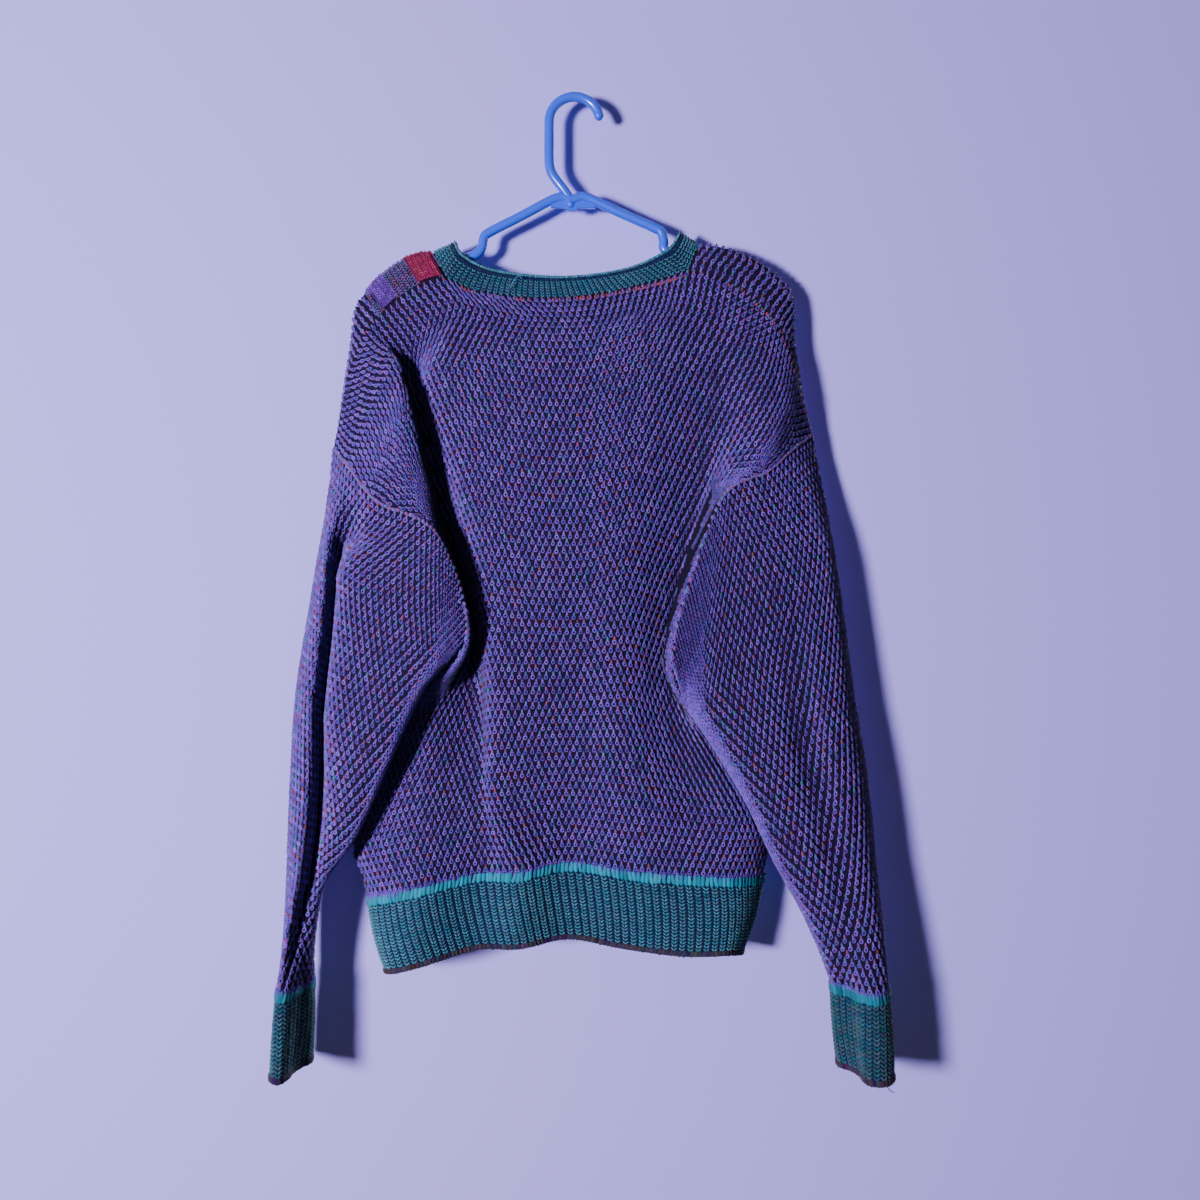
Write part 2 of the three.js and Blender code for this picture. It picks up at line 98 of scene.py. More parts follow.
backNeck = [[-117, -14, -170], [-90, -13, -181], [-36, -12, -188], [19, -12, -185], [73, -13, -174],
            [110, -15, -163]]
frontNet = [
    [[-190, -18, -750], [-176, 12, -748], [-112, 26, -740], [-58, 16, -735], [0, 25, -732],
     [58, 17, -733], [112, 27, -735], [166, 20, -735], [183, -6, -731]],
    [[-204, -14, -686], [-186, 14, -684], [-114, 26, -676], [-60, 15, -672], [0, 24, -668],
     [60, 16, -668], [114, 26, -670], [168, 22, -674], [187, -6, -677]],
    [[-166, -18, -590], [-156, 8, -588], [-112, 23, -580], [-62, 16, -572], [0, 23, -566],
     [62, 16, -568], [108, 24, -576], [150, 8, -600], [162, -18, -611]],
    [[-95, -64, -511], [-119, -19, -504], [-108, 15, -494], [-60, 19, -478], [0, 21, -470],
     [60, 19, -474], [99, 14, -500], [121, -12, -526], [94, -60, -538]],
    [[-140, -4, -466], [-132, 15, -440], [-106, 21, -400], [-66, 20, -372], [0, 22, -362],
     [66, 20, -366], [108, 21, -400], [134, 15, -452], [148, -2, -474]],
    [[-184, 14, -398], [-163, 21, -345], [-130, 19, -300], [-84, 20, -270], [0, 22, -262],
     [82, 20, -264], [130, 19, -292], [168, 21, -336], [190, 14, -388]],
    [[-211, 14, -358], [-201, 18, -264], [-180, 18, -212], [-119, 14, -174], [0, 17, -227],
     [110, 14, -167], [186, 18, -200], [203, 18, -256], [217, 14, -344]],
    [[-224, 8, -342], [-211, 2, -240], [-197, 0, -182], [-131, 0, -143], [0, 0, -190],
     [121, 0, -136], [203, 0, -172], [213, 2, -235], [227, 8, -328]],
    [[-226, -2, -331], [-206, -17, -252], [-178, -18, -206], [-117, -14, -170], [-4, -10, -188],
     [110, -15, -163], [180, -19, -199], [207, -16, -247], [229, -2, -318]],
]

# Rows and columns are counted as in the solids. The front neck is cut out above the notch row,
# between the neck columns, and each row and column is drawn in fine steps.
clothRows, clothColumns = 20, 28
armpitRow, notchRow = 10, 16
neckFrom, neckTo = 9, 19
fine = 8
rowStops = np.linspace(0, clothRows, clothRows * fine + 1)
columnStops = np.linspace(0, clothColumns, clothColumns * fine + 1)
across = np.interp(columnStops, [0, neckFrom, neckTo, clothColumns], [0, 3, 5, 8])
rowMarks = [0, armpitRow, clothRows]
back = weave(backNet, frontNet, across, np.interp(rowStops, rowMarks, [0, armpitNetRow, 7]))
neckPart = (columnStops >= neckFrom) & (columnStops <= neckTo)
neckCurve = spline(backNeck, np.clip((columnStops - neckFrom) / 2, 0, 5))
neckLine = np.where(neckPart[:, None], neckCurve, back[-1])
back += fadeFrom(rowStops, clothRows, 6)[:, None, None] * (neckLine - back[-1])

front = weave(frontNet, backNet, across, np.interp(rowStops, rowMarks, [0, armpitNetRow, 8]))
for column, at in ((0, 0), (-1, clothColumns)):
    shift = np.where((rowStops <= armpitRow)[:, None], back[:, column] - front[:, column], 0)
    front += fadeFrom(columnStops, at, 4)[None, :, None] * shift[:, None]
strap = (columnStops <= neckFrom) | (columnStops >= neckTo)
shoulderGap = np.where(strap[:, None], back[-1] - front[-1], 0)
front += fadeFrom(rowStops, clothRows, 3)[:, None, None] * shoulderGap

# A sleeve's ring has 20 columns over the 12 points of a section, closer together at its edges.
ringStops = [0, 0.5, 1, 1.5, 2, 2.5, 3, 4, 5, 5.5, 6, 6.5, 7, 8, 9, 9.5, 10, 10.5, 11, 11.5, 12]
ringColumns, sectionPoints = 20, 12
ringAt = np.linspace(0, ringColumns, ringColumns * fine + 1)
ringTurn = np.interp(ringAt, range(ringColumns + 1), ringStops)
sleeveRows, sleeveStations = 14, 7


# One section of a sleeve: each pair is a share of the way from outer to inner edge, and a depth.
def ring(outer, inner, pairs):
    share, depth = np.asarray(pairs, float).T
    place = np.asarray(outer) + (np.asarray(inner) - np.asarray(outer)) * share[:, None]
    return np.stack([place[:, 0], depth, place[:, 1]], axis=1)


def sleeveGrid(outer, inner, sections, column):
    stations = [at for at, _ in sections]
    pairs = np.array([p for _, p in sections], float)
    rows = []
    for t in np.linspace(0, sleeveStations, sleeveRows * fine + 1):
        section = [[np.interp(t, stations, pairs[:, k, a]) for a in (0, 1)]
                   for k in range(sectionPoints)]
        edges = spline(outer, [t])[0], spline(inner, [t])[0]
        rows.append(spline(ring(*edges, section), ringTurn, loop=True))
    grid = np.array(rows)
    up = [np.interp(clothRows - ringAt, rowStops, back[:, column, a]) for a in range(3)]
    down = [np.interp(ringAt, rowStops, front[:, column, a]) for a in range(3)]
    armhole = np.where((ringAt <= armpitRow)[:, None], np.array(up).T, np.array(down).T)
    stops = np.linspace(0, sleeveRows, len(grid))
    return grid + fadeFrom(stops, 0, 3)[:, None, None] * (armhole - grid[0])


# Each sleeve's outer and inner edge as x and z, from the armhole to the cuff, and its sections.
leftOuter = [[-226, -331], [-233, -400], [-244, -472], [-257, -560], [-262, -650], [-264, -730],
             [-266, -790], [-268, -825]]
leftInner = [[-95, -511], [-110, -529], [-134, -557], [-164, -622], [-195, -688], [-226, -734],
             [-238, -790], [-240, -827]]
leftSections = [
    [1, [[0, -12], [0.07, -36], [0.13, -11], [0.2, -49], [0.6, -66], [0.93, -72], [1, -62], [0.95, -52],
         [0.6, -38], [0.35, -6], [0.15, 12], [0.02, 6]]],
    [3, [[0, -18], [0.2, -46], [0.29, -18], [0.38, -54], [0.7, -70], [0.95, -70], [1, -60], [0.94, -48],
         [0.6, -34], [0.35, -8], [0.15, 8], [0.02, 0]]],
    [5, [[0, -26], [0.42, -56], [0.57, -30], [0.76, -36], [0.88, -42], [0.97, -40], [1, -34],
         [0.95, -26], [0.7, -14], [0.4, -2], [0.2, 4], [0.03, -6]]],
    [7, [[0, -38], [0.14, -64], [0.45, -66], [0.62, -56], [0.78, -42], [0.95, -34], [1, -24],
         [0.95, -12], [0.7, -2], [0.4, 0], [0.15, -6], [0, -20]]],
]
rightOuter = [[229, -318], [243, -398], [255, -480], [265, -560], [276, -632], [284, -715],
              [289, -775], [292, -826]]
rightInner = [[94, -538], [106, -570], [128, -604], [158, -654], [186, -712], [210, -755],
              [228, -793], [242, -828]]
rightSections = [
    [1, [[0, -12], [0.06, -34], [0.2, -44], [0.36, -50], [0.62, -58], [0.93, -68], [1, -58],
         [0.95, -48], [0.6, -36], [0.35, -6], [0.15, 12], [0.02, 6]]],
    [3, [[0, -18], [0.12, -46], [0.3, -58], [0.47, -46], [0.68, -64], [0.94, -68], [1, -58],
         [0.94, -46], [0.6, -34], [0.35, -8], [0.15, 8], [0.02, 0]]],
    [5, [[0, -26], [0.14, -52], [0.32, -62], [0.5, -58], [0.72, -64], [0.94, -58], [1, -46],
         [0.95, -34], [0.7, -18], [0.4, -2], [0.2, 4], [0.03, -6]]],
    [7, [[0, -40], [0.12, -64], [0.4, -72], [0.62, -60], [0.78, -42], [0.95, -34], [1, -24],
         [0.95, -12], [0.7, -2], [0.4, 0], [0.15, -6], [0, -20]]],
]
sleeveLeft = sleeveGrid(leftOuter, leftInner, leftSections, 0)
sleeveRight = sleeveGrid(rightOuter, rightInner, rightSections, -1)


# A rib runs straight from its seam to its edge, and swells outwards a little between them.
def ribGrid(start, edge, swell, count=16):
    middle = start.mean(axis=0)
    rows = []
    for t in np.linspace(0, 1, count + 1):
        place = start + (edge - start) * t
        out = place[:, :2] - middle[:2]
        out /= np.maximum(np.linalg.norm(out, axis=1), 1)[:, None]
        place[:, :2] += swell * math.sin(math.pi * t) * out
        rows.append(place)
    return np.array(rows)


cuffBottomLeft = [[0, -46], [0.1, -68], [0.4, -77], [0.6, -68], [0.66, -48], [0.8, -34], [1, -24],
                  [1, -8], [0.7, 2], [0.4, 2], [0.12, -6], [0, -24]]
cuffBottomRight = [[0, -48], [0.08, -68], [0.36, -78], [0.64, -70], [0.68, -50], [0.82, -34], [1, -24],
                   [1, -8], [0.7, 2], [0.4, 2], [0.12, -6], [0, -24]]
leftEdge = ring([-272, -906], [-244, -906], cuffBottomLeft)
rightEdge = ring([294, -907], [251, -909], cuffBottomRight)
cuffLeft = ribGrid(sleeveLeft[-1], spline(leftEdge, ringTurn, True), 1.5)
cuffRight = ribGrid(sleeveRight[-1], spline(rightEdge, ringTurn, True), 1.5)
hemEdge = [[-169, -42, -816], [-138, -62, -806], [-86, -44, -794], [-46, -50, -792], [-2, -34, -787],
           [50, -46, -793], [102, -52, -798], [144, -46, -799], [160, -16, -805],
           [148, 18, -802], [102, 26, -802], [52, 16, -798], [0, 24, -796], [-52, 16, -798],
           [-102, 25, -803], [-156, 8, -812]]
hemStart = np.concatenate([back[0], front[0][::-1][1:]])
hemRib = ribGrid(hemStart, spline(hemEdge, np.concatenate([across, 8 + across[1:]]), True), 3)
fromStep, toStep, notchStep = neckFrom * fine, neckTo * fine, notchRow * fine
neckStart = np.concatenate([
    back[-1][fromStep:toStep + 1], front[::-1][1:(clothRows - notchRow) * fine + 1, toStep],
    front[notchStep, ::-1][fromStep + 1:toStep + 1], front[notchStep + 1:, fromStep]])
neckEdge = [[-101, -12, -148], [-71, -12, -162], [-10, -11, -168], [50, -12, -161], [90, -12, -143],
            [102, 0, -124], [92, 12, -146], [52, 14, -180], [0, 15, -204], [-54, 14, -186],
            [-98, 12, -153], [-109, 0, -133]]
neckStops = [0, 2.5, 5, 7.5, 10, 12, 14, 16.5, 19, 21.5, 24, 26, 28]
neckTurn = np.interp(np.linspace(0, 28, len(neckStart)), neckStops, range(len(neckStops)))
neckRib = ribGrid(neckStart, spline(neckEdge, neckTurn, True), 1)
print("cloth surfaces worked out")


def hexColour(text):
    channels = np.array([int(text[i:i + 2], 16) / 255 for i in (0, 2, 4)])
    return np.where(channels <= 0.04045, channels / 12.92, ((channels + 0.055) / 1.055) ** 2.4)


def meshObject(name, points, faces, tint=None, uv=None, smooth=True):
    mesh = bpy.data.meshes.new(name)
    faces = faces.tolist() if isinstance(faces, np.ndarray) else faces
    mesh.from_pydata((np.asarray(points) / 1000).tolist(), [], faces)
    mesh.polygons.foreach_set("use_smooth", np.array(np.broadcast_to(smooth, len(faces))))
    if tint is not None:
        layer = mesh.color_attributes.new("tint", "FLOAT_COLOR", "POINT")
        layer.data.foreach_set("color", np.column_stack([tint, np.ones(len(tint))]).ravel())
    if uv is not None:
        loops = np.zeros(len(mesh.loops), int)
        mesh.loops.foreach_get("vertex_index", loops)
        mesh.uv_layers.new(name="cloth").data.foreach_set("uv", np.asarray(uv)[loops].ravel())
    mesh.update()
    made = bpy.data.objects.new(name, mesh)
    bpy.context.collection.objects.link(made)
    return made


def unit(v):
    return v / np.maximum(np.linalg.norm(v, axis=-1, keepdims=True), 1e-9)


# Unit vectors along the courses, up the wales and out of the cloth. side is 1 or -1, so that
# the last one points outwards.
def directions(grid, side):
    along = unit(np.gradient(grid, axis=1))
    up = unit(np.gradient(grid, axis=0))
    out = side * unit(np.cross(along, up))
    return along, up, out


# Values of a grid at places between its points.
def take(grid, rows, columns):
    r = np.clip(rows, 0, grid.shape[0] - 1.001)
    c = np.clip(columns, 0, grid.shape[1] - 1.001)
    i, j = r.astype(int), c.astype(int)
    f, g = (r - i)[:, None], (c - j)[:, None]
    low = grid[i, j] * (1 - g) + grid[i, j + 1] * g
    high = grid[i + 1, j] * (1 - g) + grid[i + 1, j + 1] * g
    return low * (1 - f) + high * f


# The thin cloth behind the stitches, closed all round: from sink to wall below the surface.
def shell(name, grid, side, sink, wall, loop=False, step=4, keep=None):
    rows = np.arange(0, grid.shape[0], step)
    columns = np.arange(0, grid.shape[1], step)
    if loop:
        columns = columns[:-1]
    out = directions(grid, side)[2]
    if loop:
        out[:, 0] = unit(out[:, 0] + out[:, -1])
    pick = np.ix_(rows, columns)
    base, normal = grid[pick], out[pick]
    wide = len(columns)
    faces = []
    for i in range(len(rows) - 1):
        for j in range(wide if loop else wide - 1):
            if keep and not keep(rows[i] / fine, columns[j] / fine):
                continue
            k = (j + 1) % wide
            face = (i * wide + j, i * wide + k, (i + 1) * wide + k, (i + 1) * wide + j)
            faces.append(face if side > 0 else face[::-1])
    outer = (base - sink * normal).reshape(-1, 3)
    inner = (base - wall * normal).reshape(-1, 3)
    count = len(outer)
    edges = dict.fromkeys((a, b) for face in faces for a, b in zip(face, face[1:] + face[:1]))
    rim = [(b, a, a + count, b + count) for a, b in edges if (b, a) not in edges]
    inside = [tuple(i + count for i in face[::-1]) for face in faces]
    points = np.concatenate([outer, inner])
    allFaces = np.array(faces + inside + rim)
    used = np.unique(allFaces)
    order = np.zeros(len(points), int)
    order[used] = np.arange(len(used))
    uv = np.tile(np.stack(np.meshgrid(columns, rows), axis=-1).reshape(-1, 2) / fine, (2, 1))
    return meshObject(name, points[used], order[allFaces], uv=uv[used])


# One stitch is a small raised shape: points in millimetres, triangles, and a painted shade for each
# point.
# The pear is a tuck stitch, a ring of yarn with a lobe above it. The vee is a plain stitch, and the
# stroke a short straight one.
ringSides = 7
ringTurns = np.radians(90 + np.arange(ringSides) * 360 / ringSides)
ringShape = np.stack([np.cos(ringTurns), np.sin(ringTurns)], axis=1)


def ringPoints(radius, height):
    return np.column_stack([ringShape * radius + [0, -1.5], np.full(ringSides, height)])


# Triangles between two neighbouring circles of ring points.
def ringBand(low, high):
    after = [(k + 1) % ringSides for k in range(ringSides)]
    return ([[low + k, low + m, high + m] for k, m in enumerate(after)]
            + [[low + k, high + m, high + k] for k, m in enumerate(after)])


pearPoints = np.concatenate([
    ringPoints([2.45, 2.6], -0.9), ringPoints([1.62, 1.75], 1.7), ringPoints([0.72, 0.8], 0.1),
    [[-1.3, 0.3, -0.2], [1.3, 0.3, -0.2], [-1.45, 2.5, -0.7], [1.45, 2.5, -0.7], [0, 5.4, -0.9],
     [0, 0.6, 1.5], [0, 2.4, 1.75], [0, 4.0, 0.9]]])
lobeFaces = [[22, 24, 27], [22, 27, 26], [24, 25, 28], [24, 28, 27], [25, 23, 28], [23, 27, 28],
             [23, 21, 27], [21, 26, 27], [22, 26, 21]]
pearFaces = np.array(ringBand(0, ringSides) + ringBand(ringSides, 2 * ringSides) + lobeFaces)
# Painted shade and highlight on the ring: its base darker where it meets the cloth, its crest lighter
# and lightest at the top, and its hole nearly black, partly the real dark ground showing through and
# partly painted shade.
paintedRingShade = [0.24] * ringSides + [1.12, 1.05, 0.95, 0.9, 0.9, 0.95, 1.05] + [0.07] * ringSides
# Painted shade on the lobe: its base darker where it tucks into the cloth, its crest lighter.
paintedLobeShade = [0.45, 0.45, 0.35, 0.35, 0.4, 0.8, 0.95, 0.8]
pear = (pearPoints, pearFaces, np.array(paintedRingShade + paintedLobeShade))
pearCourse = 6.9                    # spacing of courses that the pear is drawn for

veeWidth, veeCourse = 7.9, 3.0      # spacing of wales and courses that the vee is drawn for
leafHalf = np.array([
    [0.05, -2.1, -0.4], [1.8, -1.4, -0.4], [3.5, 0.5, -0.9], [3.3, 1.7, -0.9], [1.6, 0.75, -0.4],
    [0.05, -0.1, -0.4], [0.75, -0.9, 1.8], [2.3, 0.3, 1.4]])
leafFaces = np.array([[0, 1, 6], [1, 7, 6], [1, 2, 7], [2, 3, 7], [3, 4, 7], [4, 6, 7], [4, 5, 6],
                      [5, 0, 6]])
# The vee's last array is painted shade: its base darker and its crest lighter, as a painted highlight.
vee = (np.concatenate([leafHalf, leafHalf * [-1, 1, 1]]),
       np.concatenate([leafFaces, leafFaces[:, ::-1] + len(leafHalf)]),
       np.array(([0.45] * 6 + [1.15, 1.0]) * 2))

# The stroke's last array is painted shade: its base darker and its crest lighter, as a painted
# highlight.
stroke = (np.array([[0, -0.5, -0.3], [0.5, -0.3, -0.3], [0.5, 0.3, -0.3], [0, 0.5, -0.3],
                    [-0.5, 0.3, -0.3], [-0.5, -0.3, -0.3], [0, -0.28, 1.0], [0, 0.28, 1.0]]),
          np.array([[0, 1, 6], [1, 2, 7], [1, 7, 6], [2, 3, 7], [3, 4, 7], [4, 5, 6], [4, 6, 7],
                    [5, 0, 6]]),
          np.array([0.6] * 6 + [1.1, 1.1]))


# Copies a stitch to many places on a surface, as one mesh's points, faces and colours.
def stitches(shape, grid, side, rows, columns, size, colour, flip=False, jitter=0.05, lift=-1.0):
    points, faces, shade = shape
    course, upward, out = (unit(take(d, rows, columns)) for d in directions(grid, side))
    if flip:
        upward = -upward
    count = len(rows)
    size = np.broadcast_to(size, (count, 3)) * (1 + jitter * rng.standard_normal((count, 3)))
    turn = 1.4 * jitter * rng.standard_normal(count)
    local = points[None] * size[:, None]
    x = local[..., 0] * np.cos(turn)[:, None] - local[..., 1] * np.sin(turn)[:, None]
    y = local[..., 0] * np.sin(turn)[:, None] + local[..., 1] * np.cos(turn)[:, None]
    centre = take(grid, rows, columns) + lift * out
    centre = centre + course * (3 * jitter * rng.standard_normal(count))[:, None]
    placed = (centre[:, None] + x[..., None] * course[:, None] + y[..., None] * upward[:, None]
              + local[..., 2:] * out[:, None])
    if colour.ndim == 2:
        colour = colour[:, None]
    # the painted shade of each point of the stitch darkens or lightens its colour
    tint = colour * shade[None, :, None]
    number = faces[None] + (np.arange(count) * len(points))[:, None, None]
    if (side > 0) == flip:
        number = number[..., ::-1]
    return placed.reshape(-1, 3), number.reshape(-1, 3), np.clip(tint, 0, 1).reshape(-1, 3)


# One mesh from several lots of stitches.
def joined(name, parts):
    points, faces, tints, start = [], [], [], 0
    for p, f, t in parts:
        points.append(p)
        faces.append(f + start)
        tints.append(t)
        start += len(p)
    return meshObject(name, np.concatenate(points), np.concatenate(faces), tint=np.concatenate(tints))


# Places for stitches in courses and wales: every other course is half a wale across.
# wale is the spacing in a course, or a function of the share of the height, and course the
# spacing of the courses. inset leaves that many wales free at each side.
def lattice(grid, wale, course, centre, half=True, inset=0.4):
    length = np.concatenate([np.zeros((1, grid.shape[1])),
                             np.cumsum(np.linalg.norm(np.diff(grid, axis=0), axis=2), axis=0)])
    count = int(round(np.median(length[-1]) / course))
    rows, columns, spacing = [], [], []
    order = np.arange(grid.shape[1])
    steps = np.arange(grid.shape[0])
    for k in range(count):
        share = (k + 0.5) / count
        rowAt = np.array([np.interp(share * length[-1, c], length[:, c], steps) for c in order])
        line = take(grid, rowAt, order.astype(float))
        run = np.concatenate([[0], np.cumsum(np.linalg.norm(np.diff(line, axis=0), axis=1))])
        run -= run[centre]
        pitch = wale(share) if callable(wale) else wale
        shift = 0.5 * (k % 2) if half else 0
        first = math.ceil(run[0] / pitch - shift + inset)
        last = math.floor(run[-1] / pitch - shift - inset)
        n = np.arange(first, last + 1)
        columnAt = np.interp((n + shift) * pitch, run, order)
        columns.append(columnAt)
        rows.append(np.interp(columnAt, order, rowAt))
        spacing.append(np.interp(columnAt, order, length[-1]) / count)
    return np.concatenate(rows), np.concatenate(columns), np.concatenate(spacing)


# sRGB colours of the dyed wool. Most stitches are lavender loops with a redder or bluer second
# strand, and a few have a fleck.
woolTones = {
    "ring": ("6c44c6", "784ccf", "613dba", "7955ce", "5a46bc"),
    "lobe": ("6c50a6", "72459c", "5858a8", "824690", "5464a4", "7752b2"),
    "fleck": ("84406c", "88465e", "407c98"),
    "seam": ("8e3050", "a03a4c", "6a4a8c", "7c3a70"),
    "fleckShare": 0.06,
    "teal": "42809f", "navy": "0c1c48", "plum": "30243e", "stripe": "0083a3",
    # The ground colours are dark yarn, darkened partly as painted shade for the gaps.
    "plumGround": ("0d0524", "2e1a48"), "navyGround": ("081233", "12365c"),
}
ringTones, lobeTones, fleckTones, seamTones = (
    np.array([hexColour(text) for text in woolTones[name]])
    for name in ("ring", "lobe", "fleck", "seam"))
teal, navy, plum, stripeTeal = (
    hexColour(woolTones[name]) for name in ("teal", "navy", "plum", "stripe"))


def ringColours(count):
    tone = ringTones[rng.integers(0, len(ringTones), count)]
    return tone * (1 + 0.12 * rng.standard_normal((count, 1)))


def lobeColours(count):
    tone = lobeTones[rng.integers(0, len(lobeTones), count)]
    fleck = rng.random(count) < woolTones["fleckShare"]
    tone[fleck] = fleckTones[rng.integers(0, len(fleckTones), fleck.sum())]
    return tone * (1 + 0.15 * rng.standard_normal((count, 1)))


def mixedYarn(count, base, spread=0.12):
    tone = base * (1 + spread * rng.standard_normal((count, 1)))
    return np.clip(tone + 0.01 * rng.standard_normal((count, 3)), 0, 1)


def node(tree, kind, settings=None, inputs=None, links=None):
    made = tree.nodes.new(kind)
    for key, value in (settings or {}).items():
        setattr(made, key, value)
    for key, value in (inputs or {}).items():
        made.inputs[key].default_value = value
    for key, source in (links or {}).items():
        tree.links.new(source, made.inputs[key])
    return made


def newMaterial(name):
    material = bpy.data.materials.new(name)
    material.use_nodes = True
    tree = material.node_tree
    return material, tree, tree.nodes["Principled BSDF"]


# Spun wool yarn: dull, slightly hairy strands, with a soft sheen at grazing angles.
def woolYarn(name):
    material, tree, surface = newMaterial(name)
    place = node(tree, "ShaderNodeTexCoord").outputs["Object"]
    tint = node(tree, "ShaderNodeVertexColor", {"layer_name": "tint"}).outputs["Color"]
    # 1500 to a metre: hairs about 0.7 mm apart, coarser than real ones so that they show
    hair = node(tree, "ShaderNodeTexNoise", inputs={"Scale": 1500, "Detail": 3.0, "Roughness": 0.65},
                links={"Vector": place}).outputs["Fac"]
    light = node(tree, "ShaderNodeMapRange",
                 inputs={"From Min": 0.3, "From Max": 0.7, "To Min": 0.72, "To Max": 1.22},
                 links={"Value": hair}).outputs["Result"]
    mixed = node(tree, "ShaderNodeVectorMath", {"operation": "SCALE"}, links={0: tint, "Scale": light})
    tree.links.new(mixed.outputs["Vector"], surface.inputs["Base Color"])
    bump = node(tree, "ShaderNodeBump", inputs={"Strength": 0.5, "Distance": 0.0006},
                links={"Height": hair})
    tree.links.new(bump.outputs["Normal"], surface.inputs["Normal"])
    surface.inputs["Roughness"].default_value = 0.92
    surface.inputs["Specular IOR Level"].default_value = 0.2
    surface.inputs["Sheen Weight"].default_value = 0.12
    return material


# Wool strands carried across behind the raised stitches: dark and matt, their dark partly the real
# ground yarn and partly painted shade, so that gaps look deep.
def strandGround(name, dark, strand):
    material, tree, surface = newMaterial(name)
    uv = node(tree, "ShaderNodeTexCoord").outputs["UV"]
    place = node(tree, "ShaderNodeTexCoord").outputs["Object"]
    # one column of cloth, about 17 mm, is one unit across, so this puts the strands about 1 mm apart
    wave = node(tree, "ShaderNodeTexWave", {"bands_direction": "X"},
                {"Scale": 6.0, "Distortion": 1.2, "Detail": 1.0}, {"Vector": uv}).outputs["Fac"]
    hair = node(tree, "ShaderNodeTexNoise", inputs={"Scale": 900.0, "Detail": 3.0},
                links={"Vector": place}).outputs["Fac"]
    share = node(tree, "ShaderNodeMath", {"operation": "MULTIPLY"},
                 links={0: wave, 1: hair}).outputs["Value"]
    ramp = node(tree, "ShaderNodeValToRGB", links={"Fac": share})
    for element, colour, position in zip(ramp.color_ramp.elements, (dark, strand), (0.15, 0.75)):
        element.color = (*colour, 1)
        element.position = position
    tree.links.new(ramp.outputs["Color"], surface.inputs["Base Color"])
    bump = node(tree, "ShaderNodeBump", inputs={"Strength": 0.8, "Distance": 0.001},
                links={"Height": share})
    tree.links.new(bump.outputs["Normal"], surface.inputs["Normal"])
    surface.inputs["Roughness"].default_value = 0.95
    surface.inputs["Specular IOR Level"].default_value = 0.15
    return material


# Moulded plastic: an even saturated colour with sharp highlights.
def glossPlastic(name, colour):
    material, _, surface = newMaterial(name)
    surface.inputs["Base Color"].default_value = (*colour, 1)
    surface.inputs["Roughness"].default_value = 0.22
    surface.inputs["Coat Weight"].default_value = 0.3
    return material


wool = woolYarn("wool_yarn")
plumGround = strandGround("plum_strands", *map(hexColour, woolTones["plumGround"]))
navyGround = strandGround("navy_strands", *map(hexColour, woolTones["navyGround"]))


def finishPiece(piece, material, nodes=()):
    piece.data.materials.append(material)
    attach(piece, "root")
    if nodes:
        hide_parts(*nodes)
    return piece


# Pitches and thicknesses are in millimetres. foldShade is how much painted shade darkens a stitch deep
# in a fold, and spans are left and right columns and low and high rows.
backKnit = {"wale": 6.3, "course": 6.9, "foldShade": 0.75, "sink": 1.0, "wall": 3.4}
frontKnit = {"wale": 7.2, "course": 7.8, "foldShade": 0.75, "sink": 1.0, "wall": 3.4}
shoulderStrip = {"span": (5.85, 9.0, 17.95, 19.95), "wale": 4.6, "course": 3.2,
                 "size": [0.66, 1.05, 0.8]}
crimsonDarn = {"span": (8, 8.9, 18.05, 19.85), "colour": "a52a62"}
violetDarn = {"span": (6.2, 7, 18.05, 19.85), "colour": "7440bd"}
# Painted fold shade: below topRow, stitches facing sideways are darkened from steepFrom over steepOver,
# and stitches lying fullDepth deeper than their neighbours at reach are darkened fully. A stitch darker
# than leftOut is left out, so the dark ground shows as the fold's shade.
folds = {"topRow": 17, "steepFrom": 0.2, "steepOver": 0.5, "reach": 0.9, "fullDepth": 9,
         "leftOut": 0.45}

# The plain knitted strip along the left shoulder, which the two darns belong to, in fine steps.
stripLeft, stripRight, stripLow, stripHigh = (x * fine for x in shoulderStrip["span"])


def inNotch(row, column):
    return row >= notchRow and neckFrom <= column < neckTo


def underStrip(rows, columns):
    return (columns > stripLeft + 0.3) & (columns < stripRight + 3) & (rows > stripLow - 1)


def underDarn(rows, columns):
    hidden = np.zeros(len(rows), bool)
    for left, right, low, _ in (crimsonDarn["span"], violetDarn["span"]):
        hidden |= (columns > left * fine + 0.5) & (columns < right * fine - 0.5) & (rows > low * fine)
    return hidden


def offFront(rows, columns):
    neck = (columns > neckFrom * fine - 1) & (columns < neckTo * fine + 0.3)
    return (rows > notchRow * fine - 0.5) & neck | underStrip(rows, columns)


# How light each stitch's colour is painted: darker on the steep walls and the floor of a fold, as
# painted shade.
def foldLight(grid, side, rows, columns, foldShade):
    steep = np.abs(take(directions(grid, side)[2], rows, columns)[:, 1])
    facing = np.clip((steep - folds["steepFrom"]) / folds["steepOver"], 0, 1)
    light = np.where(rows < folds["topRow"] * fine, facing, 1) * foldShade + 1 - foldShade
    shift = folds["reach"] * fine
    here, before, after = (side * take(grid, rows, columns + s)[:, 1] for s in (0, -shift, shift))
    valley = np.clip((here - np.maximum(before, after)) / folds["fullDepth"], 0, 1)
    return light * (1 - foldShade * valley)


